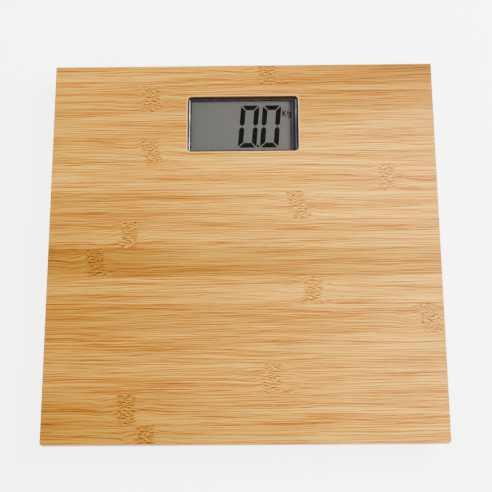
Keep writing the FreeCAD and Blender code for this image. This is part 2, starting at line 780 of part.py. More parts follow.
def make_cells():
    """Two AAA cells, facing opposite ways."""
    radius = value("cell_radius")
    nub = value("cell_nub")
    body_length = value("cell_length") - nub
    base = Vector(0, 0, -value("cell_length") / 2)
    for name, row, turn in (("battery_front", "cell_front_y", 90), ("battery_rear", "cell_rear_y", -90)):
        can = Part.makeCylinder(radius, body_length, base)
        rims = [edge for edge in can.Edges if isinstance(edge.Curve, Part.Circle)]
        can = can.makeFillet(value("cell_edge"), rims)
        tip = Part.makeCylinder(value("cell_nub_radius"), body_length + nub, base)
        middle = Vector(0, value(row), value("cell_z"))
        new_feature(name, can.fuse(tip), Placement(middle, Rotation(Vector(0, 1, 0), turn)))


def make_contacts():
    """Bay contacts: a link across both cells at one end, a plus and a minus plate at the other."""
    end = value(BAY_END)
    thick = value("contact_thick")
    low = value("contact_low")
    tall = value("contact_high") - low
    width = value("contact_width")
    rows = (value("cell_front_y"), value("cell_rear_y"))
    back = end - value("contact_gap")
    face = back - thick
    gap = face - value("cell_length") / 2 - value("contact_gap")

    def plate(side, from_row, to_row):
        x_low = face if side > 0 else -back
        y_low = rows[from_row] - width / 2
        return Part.makeBox(thick, rows[to_row] + width / 2 - y_low, tall, Vector(x_low, y_low, low))

    def dimple(side, row):
        root = Vector(side * face, rows[row], value("cell_z"))
        return Part.makeCone(value("dimple_radius"), value("dimple_tip"), gap, root, Vector(-side, 0, 0))

    new_feature("battery_link_contact", plate(-1, 0, 1).fuse(dimple(-1, 1)))
    new_feature("battery_plus_contact", plate(1, 0, 0).fuse(dimple(1, 0)))
    new_feature("battery_minus_contact", plate(1, 1, 1))
    springs = [cone_spring(side, rows[order], face, gap) for order, side in enumerate((-1, 1))]
    new_feature("battery_springs", Part.makeCompound(springs))


def cone_spring(side, y, face, reach):
    """Conical spring that stands on a contact plate and narrows towards the cell."""
    wire = value("spring_wire") / 2
    length = reach - 2 * wire - value("contact_gap")
    steps = round(value("spring_turns") * value("spring_steps"))
    root = Vector(side * (face - wire), y, value("cell_z"))
    route = []
    for step in range(steps + 1):
        share = step / steps
        radius = value("spring_root") + share * value("spring_tip - spring_root")
        angle = 2 * math.pi * step / value("spring_steps")
        offset = Vector(-side * share * length, radius * math.cos(angle), radius * math.sin(angle))
        route.append(root + offset)
    section = Part.Wire(Part.makeCircle(wire, route[0], route[1] - route[0]))
    return Part.makePolygon(route).makePipeShell([section], True, False, MITRED)


# ---------------------------------------------------------------- feet

def make_mount(name, place):
    """Round plastic mount: holds the load cell and lets the foot shell hook in from below."""
    mount = new_body("foot_mount_" + name)
    pad(mount, "drum", MOUNT_LOW, BOARD_LOW, disc("0", "0", "mount_radius"))
    for angle in EAR_ANGLES:
        pad(mount, f"ear_{angle}", EAR_LOW, BOARD_LOW,
            slot(f"ear_root * cos({angle})", f"ear_root * sin({angle})",
                 f"ear_reach * cos({angle})", f"ear_reach * sin({angle})", "ear_radius"))
    ease(mount, "Fillet", "soft_rim", "mount_edge", lambda edge: at_level(edge, value(MOUNT_LOW)))
    pocket(mount, "sensor_seat", MOUNT_LOW, CEILING_LOW,
           rounded("0", "0", "sensor_side + 2 * sensor_gap", "sensor_side + 2 * sensor_gap",
                   "sensor_corner + sensor_gap"))
    inner = "(sensor_side / 2)"
    for axis in range(2):
        for side in (-1, 1):
            channel = hook_box(axis, side, inner, "hook_slot_reach", "hook_slot_width")
            undercut = hook_box(axis, side, "(hook_slot_reach - hook_overlap)",
                                "(hook_slot_reach + hook_room)", "hook_slot_width")
            tag = f"{axis}_{side + 1}"
            pocket(mount, "hook_slot_" + tag, MOUNT_LOW, CEILING_LOW, channel)
            pocket(mount, "hook_room_" + tag, "ledge_high", CEILING_LOW, undercut)
    pocket(mount, "eye", CEILING_LOW, BOARD_LOW, disc("0", "0", "mount_eye"))
    pocket(mount, "screw_holes", EAR_LOW, BOARD_LOW, *discs(EAR_CENTRES, "hole_radius"))
    pocket(mount, "counterbores", EAR_LOW, f"{EAR_LOW} + ear_counterbore", *discs(EAR_CENTRES, "head_room"))
    mount.Placement = place


def hook_box(axis, side, near, far, width):
    """A rectangle across one of the four directions, from one radius to another."""
    middle = f"{side} * ({near} + {far}) / 2"
    reach = f"{far} - {near}"
    if axis == 0:
        return rectangle(middle, "0", reach, width)
    return rectangle("0", middle, width, reach)


def make_sensor(name, place):
    """Stamped steel load cell: a raised rim and a round tongue cut free on three sides."""
    sensor = new_body("load_cell_" + name)
    outline = rounded("0", "0", "sensor_side", "sensor_side", "sensor_corner")
    pad(sensor, "plate", SENSOR_LOW, SENSOR_TOP, outline)
    pad(sensor, "rim", SENSOR_TOP, CEILING_LOW, outline,
        rounded("0", "0", "sensor_side - 2 * sensor_rim", "sensor_side - 2 * sensor_rim",
                "sensor_corner - sensor_rim"))
    pocket(sensor, "tongue_slit", SENSOR_LOW, SENSOR_TOP, tongue_slit())
    sensor.Placement = place


def tongue_slit():
    """A ring slit that stops short on one side, where the tongue's neck is."""
    def draw(sketch):
        inner = value("tongue_radius")
        outer = inner + value("tongue_slit")
        first, last = [math.radians(turn) for turn in TONGUE_ENDS]
        circles = [Part.Circle(Vector(), Vector(0, 0, 1), size) for size in (outer, inner)]
        outer_arc, inner_arc = [
            sketch.addGeometry(Part.ArcOfCircle(circle, first, last), False) for circle in circles
        ]
        for vertex, turn in ((1, first), (2, last)):
            ray = Vector(math.cos(turn), math.sin(turn), 0)
            line = sketch.addGeometry(Part.LineSegment(ray * inner, ray * outer), False)
            sketch.addConstraint(Sketcher.Constraint("Coincident", line, 1, inner_arc, vertex))
            sketch.addConstraint(Sketcher.Constraint("Coincident", line, 2, outer_arc, vertex))
        for arc in (outer_arc, inner_arc):
            sketch.addConstraint(Sketcher.Constraint("Coincident", arc, 3, -1, 1))
        hold(sketch, "Radius", inner_arc, "tongue_radius")
        hold(sketch, "Radius", outer_arc, "tongue_radius + tongue_slit")
        for vertex, turn in enumerate(TONGUE_ENDS, start=1):
            hold(sketch, "DistanceX", -1, 1, inner_arc, vertex, f"tongue_radius * cos({turn})")
            hold(sketch, "DistanceX", -1, 1, outer_arc, vertex,
                 f"(tongue_radius + tongue_slit) * cos({turn})")
    return draw


def make_shell(name, place):
    """Foot shell: a disc with a centre boss for the load cell and four snap hooks."""
    shell = new_body("foot_shell_" + name)
    pad(shell, "disc", "shell_low", SHELL_TOP, disc("0", "0", "shell_radius"))
    ease(shell, "Fillet", "soft_rim", "shell_edge", lambda edge: at_level(edge, value("shell_low")))
    pocket(shell, "pad_recess", "shell_low", "shell_low + shell_recess",
           disc("0", "0", "pad_radius + pad_gap"))
    pad(shell, "boss", SHELL_TOP, f"{SENSOR_LOW} - foot_clear", disc("0", "0", "boss_radius"))
    hook_outer = "(hook_inner + hook_thick)"
    legs = []
    barbs = []
    for axis in range(2):
        for side in (-1, 1):
            legs.append(hook_box(axis, side, "hook_inner", hook_outer, "hook_width"))
            barbs.append(hook_box(axis, side, "hook_inner", f"({hook_outer} + barb)", "hook_width"))
    pad(shell, "hook_legs", SHELL_TOP, BARB_LOW, *legs)
    pad(shell, "hook_barbs", BARB_LOW, f"{BARB_LOW} + barb_thick", *barbs)
    shell.Placement = place


def make_foot_pad(name, place):
    """Rubber pad with grip rings, glued into the shell."""
    rubber = new_body("foot_pad_" + name)
    pad(rubber, "disc", "0", "shell_low + shell_recess", disc("0", "0", "pad_radius"))
    ease(rubber, "Fillet", "soft_rim", "pad_edge", lambda edge: at_level(edge, 0))
    for ring in range(1, GRIP_RINGS + 1):
        inner = f"{ring} * pad_radius / {GRIP_RINGS + 1}"
        pocket(rubber, f"grip_ring_{ring}", "0", "pad_groove",
               disc("0", "0", inner), disc("0", "0", f"{inner} + pad_groove_width"))
    rubber.Placement = place


def make_sealant():
    """White sealant over the strain gauge on each tongue's neck."""
    length = value("sealant_length")
    width = value("sealant_width")
    base = value(SENSOR_TOP)
    blobs = []
    for name, side_x, side_y, turn in CORNERS:
        blob = Part.makeBox(length, width, value("sealant_height"),
                            Vector(-length / 2, -value("tongue_radius") - width / 2, base))
        top_edges = [edge for edge in blob.Edges if at_level(edge, base + value("sealant_height"))]
        blob = blob.makeFillet(value("sealant_edge"), top_edges)
        blob.Placement = corner_place(side_x, side_y, turn)
        blobs.append(blob)
    new_feature("gauge_sealant", Part.makeCompound(blobs))


# ---------------------------------------------------------------- fasteners and wires

def screw(head_radius, head_height, thread_radius, length):
    """Pan-head cross-recess screw, head down, with its head's bearing face at the origin."""
    head = Part.makeCylinder(head_radius, head_height, Vector(0, 0, -head_height))
    rim = [edge for edge in head.Edges if at_level(edge, -head_height)]
    head = head.makeFillet(HEAD_ROUNDING * head_height, rim)
    shank = Part.makeCylinder(thread_radius, length - thread_radius)
    tip = Vector(0, 0, length - thread_radius)
    point = Part.makeCone(thread_radius, POINT_TIP * thread_radius, thread_radius, tip)
    blank = head.fuse([shank, point])
    slit = RECESS_HALF_WIDTH * head_radius
    depth = RECESS_DEPTH * head_height
    reach = RECESS_REACH * head_radius
    for across, along in ((slit, reach), (reach, slit)):
        blank = blank.cut(Part.makeBox(2 * across, 2 * along, depth, Vector(-across, -along, -head_height)))
    return blank.removeSplitter()


def copies_at(piece, centres, level):
    """One group of separate copies of a piece, standing at one level."""
    return Part.makeCompound([piece.translated(Vector(value(x), value(y), level)) for x, y in centres])


def make_screws():
    """Screws of the feet, the tray and the circuit board, each kind one group of separate solids."""
    bearing = value(f"{EAR_LOW} + ear_counterbore")
    foot_screw = screw(value("head_radius"), value("head_height"), value("thread_radius"),
                       value("foot_screw_top") - bearing)
    new_feature("foot_screws", copies_at(foot_screw, EAR_PLACES, bearing))

    bearing = value("tray_low + tray_counterbore")
    tray_screw = screw(value("head_radius"), value("head_height"), value("thread_radius"),
                       value("tray_screw_top") - bearing)
    new_feature("tray_screws", copies_at(tray_screw, TRAY_SCREWS, bearing))

    bearing = value("circuit_low")
    circuit_screw = screw(value("small_head_radius"), value("small_head_height"),
                          value("small_thread_radius"), value("small_screw_top") - bearing)
    new_feature("circuit_screws", copies_at(circuit_screw, CIRCUIT_SCREWS, bearing))


def tube(points, radius, bend):
    """A wire along straight runs joined by tangent arcs."""
    edges = []
    here = points[0]
    length = 0
    for corner, after in zip(points[1:-1], points[2:]):
        back = (here - corner).normalize()
        ahead = (after - corner).normalize()
        turn = math.pi - back.getAngle(ahead)
        set_back = bend * math.tan(turn / 2)
        start = corner + back * set_back
        end = corner + ahead * set_back
        middle_way = (back + ahead).normalize()
        middle = corner + middle_way * (bend / math.cos(turn / 2) - bend)
        edges.append(Part.LineSegment(here, start).toShape())
        edges.append(Part.Arc(start, middle, end).toShape())
        length += (start - here).Length + bend * turn
        here = end
    edges.append(Part.LineSegment(here, points[-1]).toShape())
    length += (points[-1] - here).Length
    section = Part.Wire(Part.makeCircle(radius, points[0], points[1] - points[0]))
    solid = Part.Wire(edges).makePipeShell([section], True, False)
    expected = math.pi * radius ** 2 * length
    assert abs(solid.Volume - expected) < 0.01 * expected, "a wire's volume is wrong"
    return solid


def make_sensor_leads():
    """Three wires from each load cell, side by side in the groove, to the circuit board."""
    level = value("lead_z")
    for lane, colour in enumerate(("red", "white", "black"), start=-1):
        wires = []
        for name, side_x, side_y, turn in CORNERS:
            foot, along, run = groove_line(side_x, side_y)
            across = Vector(-along.y, along.x, 0)
            lane_start = foot + across * (lane * value("lead_spacing"))
            rise = lane_start + along * value("lead_start")
            finish = lane_start + along * (run + value("lead_under_board"))
            route = [rise + Vector(0, 0, value(SENSOR_TOP)), rise + Vector(0, 0, level)]
            route.append(finish + Vector(0, 0, level))
            wires.append(tube(route, value("lead_radius"), value("lead_bend")))
        new_feature("sensor_leads_" + colour, Part.makeCompound(wires))


def make_battery_leads():
    """Two wires from the bay's plus and minus contacts to the circuit board."""
    level = value("lead_z")
    begin = value(BAY_END)
    finish = value("circuit_y - circuit_depth / 2 + lead_under_board")
    for order, (colour, row) in enumerate((("black", "cell_rear_y"), ("red", "cell_front_y"))):
        lane = value("battery_lead_x") + order * value("battery_lead_step")
        y = value(row)
        route = [Vector(begin, y, level), Vector(lane, y, level), Vector(lane, finish, level)]
        new_feature("battery_lead_" + colour, tube(route, value("lead_radius"), value("lead_bend")))


def make_tape():
    """Short strips of tape over the grooves, clear of the feet and the tray."""
    strips = []
    thick = value("tape_thick")
    long_side = value("tape_long")
    wide = value("tape_wide")
    for name, side_x, side_y, turn in CORNERS:
        foot, along, run = groove_line(side_x, side_y)
        for distance in REAR_TAPE if side_y > 0 else FRONT_TAPE:
            strip = Part.makeBox(wide, long_side, thick, Vector(-wide / 2, -long_side / 2, 0))
            middle = foot + along * distance + Vector(0, 0, value(BOARD_LOW) - thick)
            strip.Placement = Placement(middle, Rotation(Vector(1, 0, 0), along))
            strips.append(strip)
    new_feature("groove_tape", Part.makeCompound(strips))


# ---------------------------------------------------------------- build

def check_and_write():
    """Stop on any failed object or bad solid, then write each sub-part."""
    doc.recompute()
    for item in doc.Objects:
        assert "Invalid" not in item.State and "Error" not in item.State, f"{item.Label}: {item.State}"
    for part in subparts:
        assert not part.Shape.isNull() and part.Shape.isValid(), f"{part.Label}: bad shape"
        assert part.Shape.Solids, f"{part.Label}: no solid"
    os.makedirs("parts", exist_ok=True)
    for part in subparts:
        part.Shape.exportStep(f"parts/{part.Label}.step")


make_platform()
make_display()
make_holder()
make_circuit()
make_tray()
make_door()
make_cells()
make_contacts()
for corner_name, corner_x, corner_y, corner_turn in CORNERS:
    corner = corner_place(corner_x, corner_y, corner_turn)
    make_mount(corner_name, corner)
    make_sensor(corner_name, corner)
    make_shell(corner_name, corner)
    make_foot_pad(corner_name, corner)
make_sealant()
make_screws()
make_sensor_leads()
make_battery_leads()
make_tape()
check_and_write()
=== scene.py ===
import math

import bmesh
import bpy
from mathutils import Euler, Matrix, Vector


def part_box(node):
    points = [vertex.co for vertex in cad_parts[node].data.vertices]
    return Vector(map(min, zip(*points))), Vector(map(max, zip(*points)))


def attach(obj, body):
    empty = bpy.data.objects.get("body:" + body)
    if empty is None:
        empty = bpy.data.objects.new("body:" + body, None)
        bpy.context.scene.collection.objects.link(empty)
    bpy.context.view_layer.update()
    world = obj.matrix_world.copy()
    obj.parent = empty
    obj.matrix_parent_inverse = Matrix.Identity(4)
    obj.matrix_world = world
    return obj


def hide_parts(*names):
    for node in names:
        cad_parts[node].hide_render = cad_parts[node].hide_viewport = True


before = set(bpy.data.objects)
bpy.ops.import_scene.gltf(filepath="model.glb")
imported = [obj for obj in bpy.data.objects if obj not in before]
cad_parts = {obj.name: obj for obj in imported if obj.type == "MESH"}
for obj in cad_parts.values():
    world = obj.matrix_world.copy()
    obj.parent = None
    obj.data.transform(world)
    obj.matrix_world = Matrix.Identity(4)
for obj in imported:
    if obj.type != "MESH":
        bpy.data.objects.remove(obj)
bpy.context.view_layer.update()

MM = 0.001
CORNERS = ("rear_right", "rear_left", "front_left", "front_right")


# ---------------------------------------------------------------- shader helper

def linear(red, green, blue):
    """A screen colour, 0 to 255, as the linear colour that nodes take."""
    channels = [value / 255 for value in (red, green, blue)]
    return tuple(c / 12.92 if c <= 0.04045 else ((c + 0.055) / 1.055) ** 2.4 for c in channels) + (1.0,)


class Shader:
    """A procedural material whose coordinates are millimetres in the object's own frame."""

    def __init__(self, name, roughness=0.5, metallic=0.0, base=(128, 128, 128), **sockets):
        self.material = bpy.data.materials.new(name)
        self.material.use_nodes = True
        self.tree = self.material.node_tree
        self.surface = self.tree.nodes["Principled BSDF"]
        self.surface.inputs["Base Color"].default_value = linear(*base)
        self.surface.inputs["Roughness"].default_value = roughness
        self.surface.inputs["Metallic"].default_value = metallic
        for socket, value in sockets.items():
            self.surface.inputs[socket.replace("_", " ").title().replace("Ior", "IOR")].default_value = value
        place = self.node("ShaderNodeTexCoord").outputs["Object"]
        self.place = self.vector("SCALE", place, scale=1 / MM)
        self.x, self.y, self.z = self.split(self.place)

    def node(self, kind, **settings):
        made = self.tree.nodes.new(kind)
        for name, value in settings.items():
            setattr(made, name, value)
        return made

    def feed(self, socket, value):
        """Link a socket to another one, or set it to a plain value."""
        if isinstance(value, bpy.types.NodeSocket):
            self.tree.links.new(value, socket)
        elif value is not None:
            socket.default_value = value

    def set(self, socket, value):
        self.feed(self.surface.inputs[socket], value)

    def math(self, operation, *values):
        made = self.node("ShaderNodeMath", operation=operation)
        for socket, value in zip(made.inputs, values):
            self.feed(socket, value)
        return made.outputs[0]

    def vector(self, operation, first, second=None, scale=None):
        made = self.node("ShaderNodeVectorMath", operation=operation)
        self.feed(made.inputs[0], first)
        self.feed(made.inputs[1], second)
        if scale is not None:
            made.inputs["Scale"].default_value = scale
        return made.outputs[0]

    def split(self, vector):
        made = self.node("ShaderNodeSeparateXYZ")
        self.feed(made.inputs[0], vector)
        return made.outputs[:]

    def join(self, x, y, z):
        made = self.node("ShaderNodeCombineXYZ")
        for socket, value in zip(made.inputs, (x, y, z)):
            self.feed(socket, value)
        return made.outputs[0]

    def scaled(self, x_factor, y_factor, z_factor):
        return self.vector("MULTIPLY", self.place, (x_factor, y_factor, z_factor))

    def noise(self, vector, scale=1.0, detail=2.0, rough=0.5, bend=0.0):
        made = self.node("ShaderNodeTexNoise")
        self.feed(made.inputs["Vector"], vector)
        settings = {"Scale": scale, "Detail": detail, "Roughness": rough, "Distortion": bend}
        for socket, value in settings.items():
            made.inputs[socket].default_value = value
        return made.outputs["Fac"]

    def cells(self, vector, scale=1.0, output="Distance", feature="F1"):
        made = self.node("ShaderNodeTexVoronoi", feature=feature)
        self.feed(made.inputs["Vector"], vector)
        made.inputs["Scale"].default_value = scale
        return made.outputs[output]

    def random(self, number):
        """Three random numbers from one whole number."""
        made = self.node("ShaderNodeTexWhiteNoise", noise_dimensions="1D")
        self.feed(made.inputs["W"], number)
        return self.split(made.outputs["Color"])

    def between(self, value, low, high, to_low=0.0, to_high=1.0):
        """Map a range smoothly onto another, held at its ends."""
        made = self.node("ShaderNodeMapRange", interpolation_type="SMOOTHSTEP")
        for socket, item in zip(made.inputs, (value, low, high, to_low, to_high)):
            self.feed(socket, item)
        return made.outputs[0]

    def ramp(self, value, stops, mode="LINEAR"):
        made = self.node("ShaderNodeValToRGB")
        ramp = made.color_ramp
        ramp.interpolation = mode
        while len(ramp.elements) < len(stops):
            ramp.elements.new(0.5)
        for element, (position, colour) in zip(ramp.elements, stops):
            element.position = position
            element.color = colour
        self.feed(made.inputs[0], value)
        return made

    def mix(self, share, first, second, blend="MIX"):
        made = self.node("ShaderNodeMix", data_type="RGBA", blend_type=blend)
        self.feed(made.inputs["Factor"], share)
        self.feed(made.inputs[6], first)
        self.feed(made.inputs[7], second)
        return made.outputs[2]

    def lerp(self, share, first, second):
        """A number between two others."""
        step = self.math("MULTIPLY", self.math("SUBTRACT", second, first), share)
        return self.math("ADD", first, step)

    def bump(self, height, depth, strength=1.0):
        """Relief of a depth in millimetres."""
        made = self.node("ShaderNodeBump")
        self.feed(made.inputs["Height"], height)
        made.inputs["Distance"].default_value = depth * MM
        made.inputs["Strength"].default_value = strength
        self.set("Normal", made.outputs[0])


# ---------------------------------------------------------------- bamboo

# All in millimetres: the strips' pitch, the farthest seam's y, the levels of the board's middle layer,
# half a knot's width and half the board's side.
STRIP_PITCH = 22.4
FIRST_SEAM = 132.8
CORE_LOW = 17
CORE_HIGH = 21
KNOT_HALF = 6.4
BOARD_HALF = 150
# Each strip from the display edge: its tone at the left and right ends, and its knot's place.
# The tones are partly each strip's own colour and partly painted light: most strips are darker at their left
# end and lighter at their right.
STRIPS = (
    (0.04, -0.17, 19),
    (-0.03, -0.10, -73),
    (-0.02, 0.01, None),
    (-0.03, 0.11, -72),
    (0.03, 0.11, 111),
    (-0.08, 0.13, 42),
    (-0.06, 0.08, -88),
    (-0.19, -0.05, -113),
    (-0.08, 0.09, 52),
    (-0.14, 0.05, 139),
    (-0.07, 0.07, None),
    (-0.05, 0.10, 20),
    (-0.15, 0.11, -87),
    (-0.15, 0.04, -73),
)
# The window in the board: its middle, and half its width and depth.
WINDOW_MIDDLE = (-0.4, 99.9)
WINDOW_HALF = (43.4, 23.0)
WINDOW_CORNER = 2.8


class Grain:
    """Where a point lies in its bamboo strip: along, across, how far from the knot, and the bent fibre."""

    def __init__(self, s):
        self.s = s
        over_core_low = s.math("GREATER_THAN", s.z, CORE_LOW)
        self.core = s.math("MULTIPLY", over_core_low, s.math("LESS_THAN", s.z, CORE_HIGH))
        self.top = s.math("GREATER_THAN", s.z, CORE_HIGH)
        self.under = s.math("SUBTRACT", 1.0, self.top)
        self.along = s.lerp(self.core, s.x, s.y)
        self.across = s.lerp(self.core, s.y, s.x)
        from_seam = s.math("DIVIDE", s.math("SUBTRACT", FIRST_SEAM, self.across), STRIP_PITCH)
        self.strip = s.math("ADD", s.math("FLOOR", from_seam), 1.0)
        self.off_middle = s.math("MULTIPLY", s.math("SUBTRACT", s.math("FRACT", from_seam), 0.5), 2.0)
        layer = s.math("ADD", s.math("MULTIPLY", self.top, 40.0), s.math("MULTIPLY", self.core, 90.0))
        self.seed = s.math("ADD", self.strip, layer)
        self.chance, self.chance_2, self.chance_3 = s.random(self.seed)
        self.read_strips()
        self.find_knot()
        self.bend_fibres()

    def read_strips(self):
        """Tones and knot place of the top's strips; the layers below take theirs by chance."""
        s = self.s
        stops = []
        for index, (left, right, knot) in enumerate(STRIPS):
            place = 0.5 if knot is None else 0.5 + knot / (2 * BOARD_HALF)
            shows_knot = 0.0 if knot is None else 1.0
            stops.append((index / len(STRIPS), (0.5 + left, 0.5 + right, place, shows_knot)))
        share = s.math("DIVIDE", s.math("ADD", self.strip, 0.5), len(STRIPS))
        table = s.ramp(share, stops, "CONSTANT")
        left, right, place = s.split(table.outputs["Color"])
        # Tone across the board, partly painted light: lighter towards the right.
        tone = s.lerp(s.between(s.x, -BOARD_HALF, BOARD_HALF), left, right)
        plain = s.math("ADD", s.math("MULTIPLY", self.chance, 0.14), 0.40)
        self.tone = s.lerp(self.top, plain, tone)
        self.has_knot = s.math("MAXIMUM", table.outputs["Alpha"], self.under)
        chosen = s.lerp(self.top, self.chance_3, place)
        self.knot_at = s.math("MULTIPLY", s.math("SUBTRACT", chosen, 0.5), 2.0 * BOARD_HALF)

    def find_knot(self):
        """The knot's mask, with a slanting and uneven outline, and the masks of the wood beside it."""
        s = self.s
        wander = s.noise(s.join(s.math("MULTIPLY", self.across, 0.22), self.seed, 0.0), detail=1.0)
        slant = s.math("MULTIPLY", self.off_middle, s.math("SUBTRACT", self.chance_2, 0.5))
        shift = s.math("ADD", s.math("MULTIPLY", s.math("SUBTRACT", wander, 0.5), 9.0),
                       s.math("MULTIPLY", slant, 6.0))
        self.from_knot = s.math("ADD", s.math("SUBTRACT", self.along, self.knot_at), shift)
        reach = s.math("ABSOLUTE", self.from_knot)
        self.knot = s.math("MULTIPLY", s.between(reach, KNOT_HALF + 2.0, KNOT_HALF - 1.5), self.has_knot)
        self.near = s.math("MULTIPLY", s.between(reach, 34.0, KNOT_HALF), self.has_knot)

    def bend_fibres(self):
        """The across coordinate with the fibres' lean, their sway, and their bow beside the knot."""
        s = self.s
        lean = s.math("MULTIPLY", s.math("SUBTRACT", self.chance, 0.5), s.math("MULTIPLY", self.along, 0.012))
        sway = s.noise(s.join(s.math("MULTIPLY", self.along, 0.012), s.math("MULTIPLY", self.across, 0.06),
                              self.seed), detail=1.0)
        ripple = s.noise(s.join(s.math("MULTIPLY", self.along, 0.07), s.math("MULTIPLY", self.across, 0.16),
                                self.seed), detail=1.5)
        crown = s.math("SUBTRACT", 1.0, s.math("MULTIPLY", self.off_middle, self.off_middle))
        one_side = s.between(self.from_knot, 6.0, -24.0, -1.3, 2.0)
        moves = (
            lean,
            s.math("MULTIPLY", s.math("SUBTRACT", sway, 0.5), 2.6),
            s.math("MULTIPLY", s.math("SUBTRACT", ripple, 0.5), s.math("MULTIPLY", self.near, 3.6)),
            s.math("MULTIPLY", s.math("MULTIPLY", crown, self.near), one_side),
        )
        self.fibre = self.across
        for move in moves:
            self.fibre = s.math("ADD", self.fibre, move)

    def streaks(self, length, width, detail, offset, rough=0.5, shift=0.0):
        """Noise drawn out along the fibres: about length by width millimetres."""
        s = self.s
        moved = s.math("ADD", self.fibre, shift)
        depth = s.math("ADD", s.math("DIVIDE", s.z, width), s.math("MULTIPLY", self.seed, offset))
        vector = s.join(s.math("DIVIDE", self.along, length), s.math("DIVIDE", moved, width), depth)
        return s.noise(vector, detail=detail, rough=rough)

    def ribs(self, length, width, offset, reach):
        """Thin dark lines with light ones beside them: the slope of the streaks across the grain."""
        s = self.s
        here = self.streaks(length, width, 2.0, offset)
        beside = self.streaks(length, width, 2.0, offset, shift=reach)
        return s.math("SUBTRACT", beside, here)

    def squiggles(self, shift):
        """Height of the short curled ridges inside a knot."""
        s = self.s
        across = s.math("ADD", self.across, shift)
        curl = s.noise(s.join(s.math("MULTIPLY", self.from_knot, 0.26), s.math("MULTIPLY", across, 0.30),
                              self.seed), detail=1.0)
        bent = s.math("ADD", s.math("MULTIPLY", across, 0.85), s.math("MULTIPLY", curl, 2.8))
        vector = s.join(s.math("MULTIPLY", self.from_knot, 0.28), bent, self.seed)
        return s.noise(vector, detail=2.0, rough=0.55)


def window_gap(s):
    """Distance outwards from the window's edge."""
    squares = []
    for place, middle, half in zip((s.x, s.y), WINDOW_MIDDLE, WINDOW_HALF):
        from_middle = s.math("ABSOLUTE", s.math("SUBTRACT", place, middle))
        beyond = s.math("MAXIMUM", s.math("SUBTRACT", from_middle, half - WINDOW_CORNER), 0.0)
        squares.append(s.math("MULTIPLY", beyond, beyond))
    return s.math("SUBTRACT", s.math("SQRT", s.math("ADD", *squares)), WINDOW_CORNER)


def bamboo():
    """Edge-glued bamboo: long fibres, straight seams, knots with curled grain, and a satin lacquer."""
    s = Shader("bamboo_lacquered", roughness=0.42, base=(216, 150, 24), specular_ior_level=0.18)
    grain = Grain(s)
    broad = grain.streaks(190.0, 4.5, 1.0, 3.7)
    medium = grain.streaks(50.0, 1.4, 2.0, 13.7, 0.55)
    ribs = grain.ribs(34.0, 0.85, 7.3, 0.45)
    fine = grain.ribs(13.0, 0.5, 5.1, 0.25)
    short = grain.ribs(8.0, 1.0, 2.9, 0.5)
    long_ribs = s.lerp(s.math("MULTIPLY", grain.near, 0.8), ribs, short)
    blend = s.math("ADD", s.math("MULTIPLY", broad, 0.38), s.math("MULTIPLY", medium, 0.40))
    blend = s.math("ADD", blend, s.math("MULTIPLY", long_ribs, 0.78))
    blend = s.math("ADD", blend, s.math("MULTIPLY", fine, 0.50))
    colour = s.ramp(blend, (
        (0.22, linear(140, 72, 5)),
        (0.34, linear(192, 122, 13)),
        (0.42, linear(217, 153, 24)),
        (0.56, linear(241, 186, 62)),
    )).outputs[0]
    rare = grain.streaks(110.0, 1.3, 1.0, 9.3)
    line = s.math("MULTIPLY", s.between(rare, 0.63, 0.70), 0.6)
    colour = s.mix(line, colour, linear(190, 110, 12))

    # The knot's curled grain, coloured by the slope of its ridges: its own dark and light grain, with a
    # painted highlight on one side of each ridge and painted shade on the other.
    slope = s.math("SUBTRACT", grain.squiggles(0.42), grain.squiggles(0.0))
    knot_grain_and_emboss_shade = s.ramp(s.math("ADD", s.math("MULTIPLY", slope, 3.4), 0.5), (
        (0.12, linear(84, 34, 2)),
        (0.42, linear(170, 96, 8)),
        (0.60, linear(208, 136, 14)),
        (0.90, linear(250, 190, 54)),
    )).outputs[0]
    colour = s.mix(s.math("MULTIPLY", grain.knot, 0.95), colour, knot_grain_and_emboss_shade)

    edge = s.math("MULTIPLY", s.math("SUBTRACT", 1.0, s.math("ABSOLUTE", grain.off_middle)), STRIP_PITCH / 2)
    patchy = s.noise(s.join(s.math("MULTIPLY", grain.along, 0.02), grain.seed, 0.0), detail=2.0)
    seam = s.math("MULTIPLY", s.between(edge, 0.45, 0.10), s.between(patchy, 0.35, 0.65, 0.15, 0.75))
    colour = s.mix(seam, colour, linear(170, 92, 22))

    # The strips' tone, partly painted light, scales the wood's colour.
    gain = s.math("ADD", s.math("MULTIPLY", s.math("SUBTRACT", grain.tone, 0.5), 2.4), 1.0)
    tone_and_light_multiplier = s.join(gain, s.math("POWER", gain, 1.2), s.math("POWER", gain, 2.0))
    colour = s.mix(1.0, colour, tone_and_light_multiplier, "MULTIPLY")
    # Round the window's edge: a painted highlight in a pale band, and painted shade in a dark line nearest
    # the edge.
    gap = window_gap(s)
    rim_painted_highlight = s.math("MULTIPLY", s.between(gap, 1.35, 0.9), grain.top)
    rim_painted_shade = s.math("MULTIPLY", s.between(gap, 0.62, 0.42), grain.top)
    colour = s.mix(s.math("MULTIPLY", rim_painted_highlight, 0.55), colour, linear(255, 216, 140))
    colour = s.mix(s.math("MULTIPLY", rim_painted_shade, 0.85), colour, linear(84, 40, 18))
    s.set("Base Color", colour)
    s.set("Roughness", s.between(medium, 0.3, 0.7, 0.48, 0.36))
    knot_relief = s.math("MULTIPLY", grain.squiggles(0.0), grain.knot)
    relief = s.math("ADD", s.math("MULTIPLY", medium, 0.4), knot_relief)
    s.bump(relief, 0.08, 0.5)
    return s.material


# ---------------------------------------------------------------- other materials

def clear(name, alpha, roughness=0.04):
    """Clear sheet, a little smoky, with faint wipe marks in its gloss."""
    s = Shader(name, roughness=roughness, base=(22, 24, 28), alpha=alpha, ior=1.49, specular_ior_level=0.65)
    wipe = s.noise(s.scaled(0.02, 0.09, 0.05), detail=4.0)
    s.set("Roughness", s.between(wipe, 0.3, 0.7, roughness, roughness + 0.05))
    return s.material


